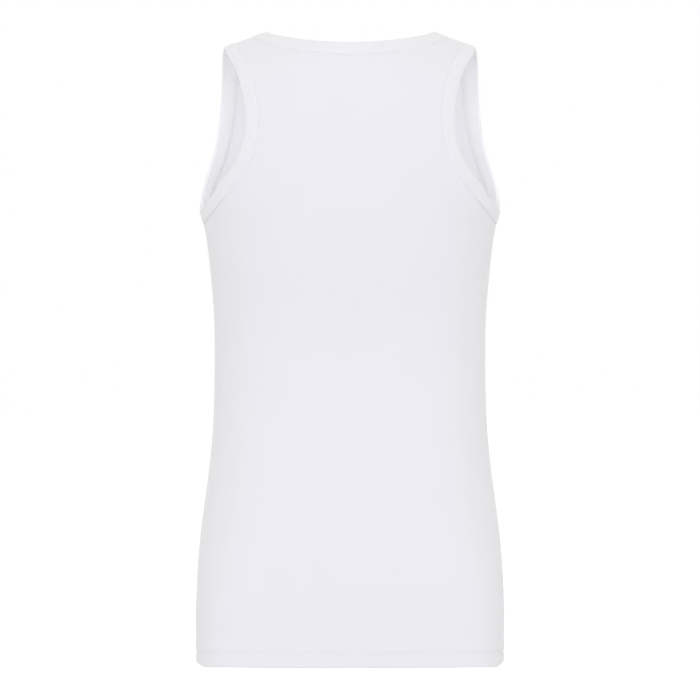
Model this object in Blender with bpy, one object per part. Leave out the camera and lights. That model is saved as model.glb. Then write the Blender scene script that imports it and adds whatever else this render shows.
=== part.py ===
"""Women's tank top in thin jersey, filled out as if worn, hollow, and open at neck, armholes and hem.

It is cut and sewn from five pieces: a front, a back, a doubled band round the neck and a doubled band
round each armhole. The hem is the body's own cloth, turned up inside.

Metres, +Z up. The back faces -Y and the front +Y, so the wearer's right is +X. The origin lies midway
between the two straps, level with the underside of their middles, where shoulders carry the garment.
Heights in the tables are above the hem. A place on the body is an angle, from 0 at the centre of the
front or back to 90 degrees at the side seam, and a rise, which is the height up to the start of the
shoulder arch and from there runs on over the shoulder to its ridge.
"""

import math
from collections import namedtuple

import bpy
import numpy as np
from mathutils.geometry import delaunay_2d_cdt

# ---- driving dimensions -------------------------------------------------------------------------
NECK_POINT = (0.0868, 0.6370)  # half width and height of the finished neck edge on the shoulder
SHOULDER_TIP = (0.1280, 0.6219)  # the same for the finished armhole edge
SHOULDER_ROUNDING = 0.030  # half width over which the shoulder line rounds off towards the centre
UNDERARM_HEIGHT = 0.4558  # lowest point of the finished armhole edge

CLOTH = 0.0012  # thickness of the body's wall
HEM_DEPTH = 0.020  # width of the turned-up hem
HEM_CLOTH = 0.0022  # thickness where the hem is doubled
HEM_STEP = 0.0012  # height over which the doubled hem thins to one layer
NECK_BAND = 0.0155  # finished width of the neck band
ARM_BAND = 0.0135  # finished width of an armhole band
BAND_CLOTH = 0.0024  # thickness of a doubled band
BAND_PROUD = 0.0005  # how far a band's outside stands above the body's
SEAM_GAP = 0.0003  # air between two pieces at a seam
UNDERARM_FLARE = 0.0009  # how far the armhole edge springs outward under the arm

BACK, FRONT = -1, 1  # the sign of Y on each side of the body
ARCH_START = {BACK: 0.470, FRONT: 0.460}  # height where the surface starts to bend over the shoulder
ARCH_END = {BACK: 0.660, FRONT: 0.675}  # rise at the shoulder's ridge
ARCH_POWER = {BACK: 2.8, FRONT: 2.4}  # fullness of that bend

# Level sections of the figure inside the cloth, from hem to shoulder. A squareness of 2 is an ellipse.
Section = namedtuple("Section", "height half_width back_depth front_depth back_square front_square")
SECTIONS = (
    Section(0.000, 0.1558, 0.108, 0.104, 4.80, 3.20),
    Section(0.040, 0.1559, 0.109, 0.104, 4.50, 3.10),
    Section(0.080, 0.1550, 0.110, 0.104, 3.90, 2.90),
    Section(0.130, 0.1515, 0.107, 0.102, 3.10, 2.70),
    Section(0.190, 0.1438, 0.100, 0.099, 2.65, 2.50),
    Section(0.250, 0.1386, 0.090, 0.095, 2.40, 2.40),
    Section(0.300, 0.1376, 0.085, 0.093, 2.35, 2.35),
    Section(0.350, 0.1384, 0.088, 0.099, 2.30, 2.30),
    Section(0.400, 0.1427, 0.095, 0.112, 2.30, 2.20),
    Section(0.435, 0.1475, 0.098, 0.117, 2.30, 2.20),
    Section(0.456, 0.1521, 0.099, 0.117, 2.30, 2.20),
    Section(0.485, 0.1555, 0.099, 0.115, 2.30, 2.20),
    Section(0.530, 0.1566, 0.098, 0.108, 2.30, 2.20),
    Section(0.680, 0.1566, 0.094, 0.095, 2.30, 2.20),
)

# The finished edges, from the shoulder's ridge down, without their two ends.
Edge = namedtuple("Edge", "height half_width")
BACK_ARMHOLE = (
    Edge(0.6110, 0.1238),
    Edge(0.5990, 0.1168),
    Edge(0.5818, 0.1106),
    Edge(0.5577, 0.1052),
    Edge(0.5330, 0.1048),
    Edge(0.5100, 0.1101),
    Edge(0.4839, 0.1265),
    Edge(0.4660, 0.1405),
)
FRONT_ARMHOLE = (
    Edge(0.6100, 0.1312),
    Edge(0.5810, 0.1328),
    Edge(0.5511, 0.1353),
    Edge(0.5200, 0.1405),
    Edge(0.4886, 0.1491),
    Edge(0.4680, 0.1524),
)
BACK_NECK = (
    Edge(0.6337, 0.0800),
    Edge(0.6300, 0.0695),
    Edge(0.6256, 0.0497),
    Edge(0.6229, 0.0296),
    Edge(0.6213, 0.0000),
)
FRONT_NECK = (
    Edge(0.6120, 0.0850),
    Edge(0.5850, 0.0785),
    Edge(0.5600, 0.0620),
    Edge(0.5460, 0.0350),
    Edge(0.5420, 0.0000),
)

# ---- fineness of the solids ---------------------------------------------------------------------
PANEL_SPACING = 0.0165  # between neighbouring points of a panel
BAND_SPACING = 0.0100  # between stations along a band
CURVE_STEPS = 240  # samples from which an edge is measured out
UNROLL_RADIUS = 0.125  # metres of cloth to a radian of angle, about the body's mean radius
EPSILON = 1e-5

QUARTER = math.pi / 2
STRAP_MIDDLE = (NECK_POINT[0] + SHOULDER_TIP[0]) / 2

COLOURS = {
    "body": (0.860, 0.858, 0.905, 1.0),
    "band": (0.872, 0.874, 0.912, 1.0),
}


# ---- smooth curves ------------------------------------------------------------------------------
def natural_spline(knots, values):
    """A function that runs smoothly through rows of values at the knots."""
    knots, values = np.asarray(knots, float), np.asarray(values, float)
    gaps = np.diff(knots)
    slopes = np.diff(values, axis=0) / gaps[:, None]
    system = np.eye(len(knots))
    for i in range(1, len(knots) - 1):
        system[i, i - 1 : i + 2] = gaps[i - 1], 2 * (gaps[i - 1] + gaps[i]), gaps[i]
    turns = np.zeros_like(values)
    turns[1:-1] = 6 * np.diff(slopes, axis=0)
    bends = np.linalg.solve(system, turns)

    def at(places):
        places = np.asarray(places, float)
        i = np.clip(np.searchsorted(knots, places) - 1, 0, len(gaps) - 1)
        gap = gaps[i][:, None]
        before, after = (places - knots[i])[:, None], (knots[i + 1] - places)[:, None]
        curved = (bends[i] * after**3 + bends[i + 1] * before**3) / (6 * gap)
        straight_after = (values[i] / gap - bends[i] * gap / 6) * after
        straight_before = (values[i + 1] / gap - bends[i + 1] * gap / 6) * before
        return curved + straight_after + straight_before

    return at


def curve_through(points):
    """A smooth curve through points, as a function of 0 to 1 along it."""
    points = np.asarray(points, float)
    steps = np.linalg.norm(np.diff(points, axis=0), axis=1)
    along = np.concatenate(([0.0], np.cumsum(steps)))
    return natural_spline(along / along[-1], points)


def evenly_along(points, count):
    """Fractional places of count + 1 stations that part a dense line of 3-D points evenly."""
    steps = np.linalg.norm(np.diff(points, axis=0), axis=1)
    along = np.concatenate(([0.0], np.cumsum(steps)))
    places = np.linspace(0, 1, len(points))
    return np.interp(np.linspace(0, along[-1], count + 1), along, places), along[-1]


# ---- the figure ---------------------------------------------------------------------------------
section_at_height = natural_spline([s.height for s in SECTIONS], [s[1:] for s in SECTIONS])


def section(side, rise):
    """Half width, depth and squareness of one side of the body at each rise."""
    values = section_at_height(rise)
    column = 1 if side == BACK else 2
    return values[:, 0], values[:, column], values[:, column + 2]


def ridge_height(x):
    """Height of the shoulder's ridge above the hem: it falls from the neck to the shoulder's tip."""
    neck, tip, here = (np.hypot(half, SHOULDER_ROUNDING) for half in (NECK_POINT[0], SHOULDER_TIP[0], x))
    slope = (NECK_POINT[1] - SHOULDER_TIP[1]) / (tip - neck)
    return NECK_POINT[1] - slope * (here - neck)


def climb(side, share, x):
    """Share of the way from the arch's start up to the ridge, at a share of the way along the arch."""
    start, end = ARCH_START[side], ARCH_END[side]
    steepness = (end - start) / (ridge_height(x) - start)
    return steepness * share + (3 - 2 * steepness) * share**2 + (steepness - 2) * share**3


def figure(side, angle, rise):
    """Points on the outside of the body, as rows of X, Y and height above the hem."""
    half_width, depth, square = section(side, rise)
    sine, cosine = np.sin(angle), np.cos(angle)
    spread = np.abs(sine / half_width) ** square + np.abs(cosine / depth) ** square
    radius = spread ** (-1 / square)
    x = radius * sine

    start, end = ARCH_START[side], ARCH_END[side]
    share = np.maximum(0, (rise - start) / (end - start))
    climbed = climb(side, share, x)
    left = np.sqrt(np.maximum(0, 1 - np.clip(climbed, 0, 1) ** ARCH_POWER[side]))
    left = np.where(share > 1, -left, left)
    height = np.where(share > 0, start + (ridge_height(x) - start) * climbed, rise)
    return np.stack([x, side * radius * cosine * left, height], axis=1)


def outward(side, angle, rise):
    """Unit normals of the body's outside."""
    across = figure(side, angle + EPSILON, rise) - figure(side, angle - EPSILON, rise)
    up = figure(side, angle, rise + EPSILON) - figure(side, angle, rise - EPSILON)
    normal = -side * np.cross(across, up)
    return normal / np.linalg.norm(normal, axis=1)[:, None]


def angle_at(side, x, rise):
    """Angle of the body's point at a half width on the section at a rise."""
    half_width, depth, square = (float(v[0]) for v in section(side, np.array([rise])))
    across = min(1.0, x / half_width)
    return math.atan2(x, depth * (1 - across**square) ** (1 / square))


def place_on_body(side, x, height):
    """Angle and rise of the point of one side at a half width and a height."""
    start, end = ARCH_START[side], ARCH_END[side]
    wanted = (height - start) / (ridge_height(x) - start)
    low, high = 0.0, 1.0
    for _ in range(50):
        middle = (low + high) / 2
        low, high = (middle, high) if climb(side, middle, x) < wanted else (low, middle)
    rise = start + (end - start) * high if wanted > 0 else height
    return angle_at(side, x, rise), rise


def nearest_place(side, angle, rise, points):
    """Angles and rises of the body's points nearest to points, from places close to them."""
    for _ in range(6):
        here = figure(side, angle, rise)
        by_angle = (figure(side, angle + EPSILON, rise) - here) / EPSILON
        by_rise = (here - figure(side, angle, rise - EPSILON)) / EPSILON
        miss = points - here
        aa, ab, bb = (np.sum(p * q, axis=1) for p, q in
                      ((by_angle, by_angle), (by_angle, by_rise), (by_rise, by_rise)))
        a, b = np.sum(by_angle * miss, axis=1), np.sum(by_rise * miss, axis=1)
        scale = aa * bb - ab**2
        angle = angle + (a * bb - b * ab) / scale
        rise = rise + (b * aa - a * ab) / scale
    return angle, rise


# ---- edges and seams ----------------------------------------------------------------------------
def ridge_place(side, x):
    """Angle and rise where the shoulder's ridge is at a half width."""
    return angle_at(side, x, ARCH_END[side]), ARCH_END[side]


def even_places(side, curve, first, last):
    """Places a band's spacing apart on part of a curve that gives unrolled angle and rise."""
    def places(shares):
        unrolled = curve(first + (last - first) * shares)
        return unrolled[:, 0] / UNROLL_RADIUS, unrolled[:, 1]

    dense = figure(side, *places(np.linspace(0, 1, CURVE_STEPS)))
    _, length = evenly_along(dense, 1)
    shares, _ = evenly_along(dense, max(4, round(length / BAND_SPACING)))
    return places(shares)


def finished_armhole(side):
    """Angles and rises of the finished armhole edge, from under the arm up to the ridge."""
    table = BACK_ARMHOLE if side == BACK else FRONT_ARMHOLE
    other = FRONT_ARMHOLE if side == BACK else BACK_ARMHOLE
    beyond = [place_on_body(-side, e.half_width, e.height) for e in other[-2:]]
    places = [(math.pi - angle, rise) for angle, rise in beyond]
    places.append((QUARTER, UNDERARM_HEIGHT))
    places += [place_on_body(side, e.half_width, e.height) for e in reversed(table)]
    places.append(ridge_place(side, SHOULDER_TIP[0]))
    unrolled = np.array(places) * (UNROLL_RADIUS, 1)
    steps = np.linalg.norm(np.diff(unrolled, axis=0), axis=1)
    return even_places(side, curve_through(unrolled), sum(steps[:2]) / sum(steps), 1)


def finished_neck(side):
    """Angles and rises of the finished neck edge, from the centre out and up to the ridge."""
    table = BACK_NECK if side == BACK else FRONT_NECK
    half = [place_on_body(side, e.half_width, e.height) for e in reversed(table)]
    half.append(ridge_place(side, NECK_POINT[0]))
    places = [(-angle, rise) for angle, rise in reversed(half[1:])] + half
    return even_places(side, curve_through(np.array(places) * (UNROLL_RADIUS, 1)), 0.5, 1)


def band_rails(side, finished_edge, width, first_direction):
    """A band's finished edge and the seam a band's width inside it, each as angles and rises.

    The edge runs from its lowest point, where it goes along the first direction, up to the ridge,
    which it crosses squarely.
    """
    angle, rise = finished_edge
    edge, normal = figure(side, angle, rise), outward(side, angle, rise)
    along = np.gradient(edge, axis=0)
    along[0], along[-1] = first_direction, (0, -side, 0)
    into_body = np.cross(along, normal)
    into_body /= np.linalg.norm(into_body, axis=1)[:, None]
    if into_body[0, 2] > 0:
        into_body = -into_body
    seam_angle, seam_rise = nearest_place(side, angle, rise, edge + width * into_body)
    seam_angle[0], seam_rise[-1] = angle[0], ARCH_END[side]
    return (angle, rise), (seam_angle, seam_rise)


ARMHOLE = {s: band_rails(s, finished_armhole(s), ARM_BAND, (0, s, 0)) for s in (BACK, FRONT)}
NECK = {s: band_rails(s, finished_neck(s), NECK_BAND, (1, 0, 0)) for s in (BACK, FRONT)}


# ---- body panels --------------------------------------------------------------------------------
def between(start, end, spacing):
    """Pattern points from start up to, but not including, end."""
    start, end = np.array(start, float), np.array(end, float)
    count = max(1, math.ceil(np.linalg.norm(end - start) / spacing))
    return [start + (end - start) * i / count for i in range(count)]


def half_outline(side):
    """The right half of a panel's outline in unrolled angle and rise, from the hem's centre round."""
    armhole = np.stack(ARMHOLE[side][1], axis=1) * (UNROLL_RADIUS, 1)
    neck = np.stack(NECK[side][1], axis=1) * (UNROLL_RADIUS, 1)
    side_seam = QUARTER * UNROLL_RADIUS
    outline = between((0, 0), (side_seam, 0), PANEL_SPACING)
    outline += between((side_seam, 0), (side_seam, HEM_DEPTH), PANEL_SPACING)
    outline += between((side_seam, HEM_DEPTH), (side_seam, HEM_DEPTH + HEM_STEP), PANEL_SPACING)
    outline += between((side_seam, HEM_DEPTH + HEM_STEP), armhole[0], PANEL_SPACING)
    outline += list(armhole[:-1])
    outline += between(armhole[-1], neck[-1], PANEL_SPACING)
    outline += list(neck[::-1])
    return np.array(outline)


def whole_outline(side):
    """The closed outline of a panel: the right half and its mirror image."""
    right = half_outline(side)
    left = right[1:-1][::-1] * (-1, 1)
    return np.concatenate([right, left])


def hem_rows():
    """Points along the hem's upper edge, where the wall changes thickness."""
    edge = QUARTER * UNROLL_RADIUS
    count = round(2 * edge / PANEL_SPACING)
    across = np.linspace(-edge, edge, count + 1)[1:-1]
    return [(u, rise) for rise in (HEM_DEPTH, HEM_DEPTH + HEM_STEP) for u in across]


def inside(outline, points):
    """Which points lie inside a closed outline, by counting the edges to their right."""
    x, y = points[:, :1], points[:, 1:]
    x0, y0 = outline.T
    x1, y1 = np.roll(outline, -1, axis=0).T
    with np.errstate(divide="ignore", invalid="ignore"):
        crossing = x0 + (y - y0) * (x1 - x0) / (y1 - y0)
    hit = ((y0 > y) != (y1 > y)) & (x < crossing)
    return hit.sum(axis=1) % 2 == 1


def lattice(outline, fixed):
    """A lattice of points inside an outline, clear of it and of the fixed points."""
    low, high = outline.min(axis=0), outline.max(axis=0)
    row_height = PANEL_SPACING * math.sqrt(3) / 2
    points = []
    for row in range(math.ceil((high[1] - low[1]) / row_height)):
        shift = PANEL_SPACING / 2 * (row % 2)
        half_count = math.ceil(high[0] / PANEL_SPACING) + 1
        points += [(i * PANEL_SPACING + shift, low[1] + row * row_height)
                   for i in range(-half_count, half_count)]
    points = np.array(points)
    points = points[inside(outline, points)]
    near = np.concatenate([outline, fixed])
    gaps = np.linalg.norm(points[:, None] - near[None], axis=2).min(axis=1)
    return points[gaps > 0.6 * PANEL_SPACING]


def wall_thickness(rise):
    """Thickness of the body's wall, doubled over the hem."""
    return np.interp(rise, (HEM_DEPTH, HEM_DEPTH + HEM_STEP), (HEM_CLOTH, CLOTH))


def parted_at_seams(side, points):
    """Points kept half a seam gap clear of the plane where front and back meet."""
    points[:, 1] = side * np.maximum(side * points[:, 1], SEAM_GAP / 2)
    return points


def panel_mesh(side):
    """Vertices and faces of one body panel, as a closed wall."""
    outline = whole_outline(side)
    rows = np.array(hem_rows())
    pattern = np.concatenate([outline, rows, lattice(outline, rows)])
    loop = [list(range(len(outline)))]
    flat, _, triangles, *_ = delaunay_2d_cdt([tuple(p) for p in pattern], [], loop, 1, EPSILON / 10)
    flat = np.array([tuple(p) for p in flat])
    angle, rise = flat[:, 0] / UNROLL_RADIUS, flat[:, 1]
    outer = figure(side, angle, rise)
    inner = outer - wall_thickness(rise)[:, None] * outward(side, angle, rise)
    vertices = np.concatenate([parted_at_seams(side, outer), parted_at_seams(side, inner)])
    return vertices, wall_faces(triangles, len(flat), flip=side == FRONT)


def wall_faces(triangles, count, flip):
    """Faces of a closed wall: outside, inside, and the rim between them."""
    triangles = [tuple(t)[::-1] if flip else tuple(t) for t in triangles]
    directed = {(t[i - 1], t[i]) for t in triangles for i in range(3)}
    inner = [tuple(v + count for v in reversed(t)) for t in triangles]
    rim = [(b, a, a + count, b + count) for a, b in directed if (b, a) not in directed]
    return triangles + inner + sorted(rim)


# ---- bands --------------------------------------------------------------------------------------
def band_section(width):
    """Section of a doubled band as (share from seam to edge, height above the body's outside)."""
    start = SEAM_GAP / width
    mid_height = BAND_PROUD - BAND_CLOTH / 2
    turn = BAND_CLOTH / 2
    outside = [(start, 0.0), (0.18, BAND_PROUD), (0.55, BAND_PROUD)]
    fold = []
    for step in range(5):
        around = QUARTER - step * QUARTER / 2
        share = 1 - turn * (1 - math.cos(around)) / width
        fold.append((share, mid_height + turn * math.sin(around)))
    inside_face = [(0.55, BAND_PROUD - BAND_CLOTH), (start, BAND_PROUD - BAND_CLOTH)]
    return outside + fold + inside_face


def half_ring(side, rails):
    """Edge points, seam points and normals at both, along one side's half of a band."""
    points = [figure(side, *places) for places in rails[side]]
    normals = [outward(side, *places) for places in rails[side]]
    return np.stack(points + normals, axis=1)


def mirrored(ring):
    """Stations mirrored to the other half of the body, in reverse order."""
    return ring[::-1] * (-1, 1, 1)


def armhole_ring():
    """Stations round the right armhole, up the back and down the front."""
    back, front = half_ring(BACK, ARMHOLE), half_ring(FRONT, ARMHOLE)
    return np.concatenate([back[:-1], front[::-1][:-1]])


def neck_ring():
    """Stations round the neck, from the back's centre by the right shoulder."""
    back, front = half_ring(BACK, NECK), half_ring(FRONT, NECK)
    right = np.concatenate([back[:-1], front[::-1]])
    return np.concatenate([right, mirrored(right)[1:-1]])


def band_mesh(ring, width, flare=0.0):
    """Vertices and faces of a band swept round a ring of stations, its lowest stretch flared."""
    edge, seam, edge_normal, seam_normal = (ring[:, i] for i in range(4))
    lowness = np.clip(1 - (edge[:, 2:] - edge[:, 2].min()) / (3 * width), 0, 1)
    edge = edge + flare * lowness * edge_normal
    rows = []
    for share, height in band_section(width):
        point = seam + share * (edge - seam)
        normal = seam_normal + share * (edge_normal - seam_normal)
        rows.append(point + height * normal)
    vertices = np.stack(rows, axis=1).reshape(-1, 3)
    stations, around = len(ring), len(rows)
    faces = []
    for i in range(stations):
        here, ahead = i * around, (i + 1) % stations * around
        for j in range(around):
            k = (j + 1) % around
            faces.append((here + j, here + k, ahead + k, ahead + j))
    return vertices, faces


# ---- objects ------------------------------------------------------------------------------------
def jersey(name, colour):
    """Plain white cotton jersey."""
    material = bpy.data.materials.new(name)
    material.use_nodes = True
    shader = material.node_tree.nodes["Principled BSDF"]
    shader.inputs["Base Color"].default_value = colour
    shader.inputs["Roughness"].default_value = 0.92
    shader.inputs["Metallic"].default_value = 0.0
    shader.inputs["Sheen Weight"].default_value = 0.25
    return material


def add_object(name, vertices, faces, colour):
    """One named solid, lowered so that the origin lies under the straps, with its own material."""
    mesh = bpy.data.meshes.new(name)
    lowered = vertices - (0, 0, ridge_height(STRAP_MIDDLE) - CLOTH)
    mesh.from_pydata([tuple(v) for v in lowered], [], faces)
    mesh.materials.append(jersey(name + "_jersey", colour))
    mesh.shade_smooth()
    mesh.set_sharp_from_angle(angle=math.radians(50))
    piece = bpy.data.objects.new(name, mesh)
    bpy.context.collection.objects.link(piece)
    return piece


def flipped(faces):
    """The same faces seen from the other side."""
    return [tuple(reversed(face)) for face in faces]


def add_bands():
    """The neck band and the two armhole bands."""
    vertices, faces = band_mesh(neck_ring(), NECK_BAND)
    add_object("neck_band", vertices, flipped(faces), COLOURS["band"])
    vertices, faces = band_mesh(armhole_ring(), ARM_BAND, UNDERARM_FLARE)
    add_object("armhole_band_right", vertices, faces, COLOURS["band"])
    add_object("armhole_band_left", vertices * (-1, 1, 1), flipped(faces), COLOURS["band"])


def main():
    for old in list(bpy.data.objects):
        bpy.data.objects.remove(old, do_unlink=True)
    add_object("back", *panel_mesh(BACK), COLOURS["body"])
    add_object("front", *panel_mesh(FRONT), COLOURS["body"])
    add_bands()


main()
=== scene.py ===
"""Looks of a women's tank top in fine white jersey: thin shells of cloth, sewing, light and camera.

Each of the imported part's five pieces of cloth is replaced by a thin shell on the same form, with rolled
seams, soft creases and a stitched hem, and the sewing is laid on as thread.

Metres, +Z up. The back faces -Y and the front +Y, and the wearer's right is +X. Heights in the tables
are above the hem, and each mesh is lowered into the part's frame as it is made. A place on the body is
an angle, from 0 at the centre of the front or back to 90 degrees at the side seam, and a rise: the
height up to the start of the shoulder's arch, and from there on the way over it to its ridge. Cloth
sizes are lengths over the surface: across from the centre line, and up from the hem.
"""

import math

import bpy
import numpy as np
from mathutils.geometry import delaunay_2d_cdt
from mathutils.kdtree import KDTree
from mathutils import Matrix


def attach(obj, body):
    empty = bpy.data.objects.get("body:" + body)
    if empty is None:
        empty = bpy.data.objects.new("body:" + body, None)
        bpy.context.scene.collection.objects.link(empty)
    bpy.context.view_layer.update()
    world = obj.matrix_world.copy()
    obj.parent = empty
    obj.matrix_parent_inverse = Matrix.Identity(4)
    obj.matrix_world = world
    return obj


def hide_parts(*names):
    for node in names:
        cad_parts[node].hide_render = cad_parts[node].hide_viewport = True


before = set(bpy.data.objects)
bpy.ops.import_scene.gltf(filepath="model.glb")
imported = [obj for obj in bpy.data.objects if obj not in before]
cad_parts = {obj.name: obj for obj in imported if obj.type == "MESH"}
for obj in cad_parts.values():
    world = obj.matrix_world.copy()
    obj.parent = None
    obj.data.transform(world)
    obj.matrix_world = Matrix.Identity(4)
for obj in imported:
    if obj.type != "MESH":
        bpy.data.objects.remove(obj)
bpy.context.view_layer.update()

# ---- the garment's form, as in the solids ----
NECK_POINT = (0.0868, 0.6370)  # half width and height of the finished neck edge on the shoulder
SHOULDER_TIP = (0.1280, 0.6219)  # the same for the finished armhole edge
SHOULDER_ROUNDING = 0.030  # half width over which the shoulder line rounds off towards the centre
UNDERARM_HEIGHT = 0.4558  # lowest point of the finished armhole edge
ORIGIN_HEIGHT = 0.6283  # height above the hem of the frame's origin, under the middle of the straps

HEM_DEPTH = 0.020  # width of the turned-up hem
NECK_BAND = 0.0155  # finished width of the neck band
ARM_BAND = 0.0135  # finished width of an armhole band
UNDERARM_FLARE = 0.0009  # how far the armhole edge springs outward under the arm
TURN_LENGTH = 0.020  # way along an edge over which the places inside it turn square to it

BACK, FRONT = SIDES = -1, 1  # the sign of Y on each side of the body
ARCH_START = {BACK: 0.470, FRONT: 0.460}  # height where the surface starts to bend over the shoulder
ARCH_END = {BACK: 0.660, FRONT: 0.675}  # rise at the shoulder's ridge
ARCH_POWER = {BACK: 2.8, FRONT: 2.4}  # fullness of that bend

# Level sections of the figure inside the cloth, from hem to shoulder: height, half width, depths of
# the back and the front, and their squareness, which is 2 for an ellipse.
SECTIONS = (
    (0.000, 0.1558, 0.108, 0.104, 4.80, 3.20),
    (0.040, 0.1559, 0.109, 0.104, 4.50, 3.10),
    (0.080, 0.1550, 0.110, 0.104, 3.90, 2.90),
    (0.130, 0.1515, 0.107, 0.102, 3.10, 2.70),
    (0.190, 0.1438, 0.100, 0.099, 2.65, 2.50),
    (0.250, 0.1386, 0.090, 0.095, 2.40, 2.40),
    (0.300, 0.1376, 0.085, 0.093, 2.35, 2.35),
    (0.350, 0.1384, 0.088, 0.099, 2.30, 2.30),
    (0.400, 0.1427, 0.095, 0.112, 2.30, 2.20),
    (0.435, 0.1475, 0.098, 0.117, 2.30, 2.20),
    (0.456, 0.1521, 0.099, 0.117, 2.30, 2.20),
    (0.485, 0.1555, 0.099, 0.115, 2.30, 2.20),
    (0.530, 0.1566, 0.098, 0.108, 2.30, 2.20),
    (0.680, 0.1566, 0.094, 0.095, 2.30, 2.20),
)

# Heights and half widths of the finished edges, from the shoulder's ridge down, without their two ends.
ARMHOLES = {
    BACK: ((0.6110, 0.1238), (0.5990, 0.1168), (0.5818, 0.1106), (0.5577, 0.1052),
           (0.5330, 0.1048), (0.5100, 0.1101), (0.4839, 0.1265), (0.4660, 0.1405)),
    FRONT: ((0.6100, 0.1312), (0.5810, 0.1328), (0.5511, 0.1353), (0.5200, 0.1405),
            (0.4886, 0.1491), (0.4680, 0.1524)),
}
NECKS = {
    BACK: ((0.6337, 0.0800), (0.6300, 0.0695), (0.6256, 0.0497), (0.6229, 0.0296),
           (0.6213, 0.0000)),
    FRONT: ((0.6120, 0.0850), (0.5850, 0.0785), (0.5600, 0.0620), (0.5460, 0.0350),
            (0.5420, 0.0000)),
}

# ---- the finer form ----
SHELL = 0.0009  # thickness of the body's cloth
HEM_SHELL, HEM_STEP = 0.0018, 0.0007  # thickness where the hem is doubled, and width of the step there
BAND_SHELL = 0.0020  # thickness of a doubled band
BAND_PROUD = 0.0004  # how far a band's outside stands above the body's
BAND_CROWN = 0.00025  # how much further its middle does
BAND_PUCKER = 0.000192  # height of the small gathers at its seam
BAND_UNDULATION = 0.00010  # slow unevenness of its outside
JOIN_RELIEF = ((-0.00045, 0.0009), (0.00012, 0.003))  # heights and reaches of its join's ditch and rim
SIDE_SEAM, SHOULDER_SEAM, NECK_SEAM_DEPTH = 0.00045, 0.00050, 0.00062  # how deep each seam lies
UPPER_ARM_SEAM, UNDERARM_SEAM = 0.00024, 0.00095  # and the armhole's, up its side and under the arm
UNDERARM_REACH = (0.045, 0.085)  # distances from the underarm between which that changes
SEAM_ROLL = 0.0016  # distance over which the cloth rolls down into a seam
INSIDE_SHARE = 0.7  # how much of a seam's depth the cloth's inside follows
SEAM_SWELL = 0.00022  # how far it swells over the seam allowance inside
ALLOWANCE = 0.006  # width of a trimmed and overlocked seam allowance
ALLOWANCE_CLOTH = 0.0008  # thickness of its two layers, pressed flat
PUCKER = 0.00016  # height of the small gathers beside a seam
PUCKER_WAVE = (0.0055, 0.02)  # length of a gather along the seam, and across it
PUCKER_REACH = 0.011  # how far from the seam they go
LEFT_SHIFT = 0.37  # how much further along their noise the gathers are on the left
UNDULATION = 0.00035  # slow unevenness of the whole cloth
SLOW_WAVE, QUICK_WAVE = (0.045, 0.085), (0.024, 0.055)  # lengths across and up of its two waves
SLOW_SHARE, QUICK_SHARE = 0.6, 0.25  # their heights, in shares of it
UNDULATION_GAP = 0.012  # distance from a seam at which it has set in

FOLD_ROUNDNESS = 0.94  # 1 closes the hem's edge in a half circle
HEM_NEEDLES = (0.0132, 0.0158)  # heights of the twin needles' rows
HEM_SWELL = 0.00030  # how far the doubled hem stands out
HEM_DITCH = (0.00022, 0.00078)  # how far the needle rows sink in, at the centre and at the sides
DITCH_REACH = (0.10, 0.20)  # lengths of cloth from the centre between which that changes
DITCH_WIDTH, NEEDLE_WIDTH = 0.0021, 0.0006  # half widths of the sunk strip and of each row's groove
DITCH_SHARE, NEEDLE_SHARE = 0.75, 0.35  # their shares of that depth
HEM_ROPE = 0.00010  # height of the slanting ripples below the needle rows
ROPE_WAVE, ROPE_LEAN = 0.0079, 0.9  # spacing of the ripples, and how far they lean over
ROPE_DRIFT, ROPE_CHANGE = (1.3, 0.04), (0.4, 0.03)  # how far place and height vary, and over what length
ROPE_START, ROPE_END = (0.002, 0.006), (0.0105, 0.0135)  # heights between which they set in and fade
HEM_DROP = (0.0017, 0.0020)  # how far the hem hangs lower towards the sides, and further at them
DROP_REACH = ((0.118, 0.152), (0.140, 0.155))  # half widths between which each sets in
HEM_ROUNDING = 0.0049  # how far its edge is rounded up again at the sides
ROUNDING_REACH = (0.143, 0.155)  # half widths between which that sets in
DROP_HEIGHT, ROUNDING_HEIGHT = 0.09, 0.012  # heights up to which the drop and the rounding go
HEM_PULL, PULL_HEIGHT = 0.0008, 0.05  # how far the stitched hem draws in, and up to which height
HEM_CURL, CURL_HEIGHT = 0.0050, 0.009  # how much further its edge curls in at the side seams
CURL_REACH = (0.20, 0.23)  # lengths of cloth from the centre between which that sets in
STITCH = 0.0027  # length of one stitch
STITCH_SPAN = (0.08, 0.92)  # shares of it between which its thread is seen
STITCH_THREAD = 0.00019  # radius of the sewing thread
OVERLOCK_THREAD = 0.00014  # radius of the overlock thread
OVERLOCK_PITCH = 0.0026  # spacing of the overlock's loops
LOOPER_ROWS = (0.0126, 0.0164)  # heights of the looper thread's rows, inside
# Section of a pressed seam allowance, as shares of its width from the seam and of its thickness.
STRIP = ((0, 0), (0, 1), (0.35, 1.05), (0.70, 0.92), (0.90, 0.62), (1, 0.25), (0.98, 0))
STRIP_SINK = 0.0001  # how far it sinks into the panel's inside
OVERLOCK_ROWS = ((0.30, 1.06), (1.01, 0.35))  # the overlock's two rows over it, in the same shares

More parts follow.
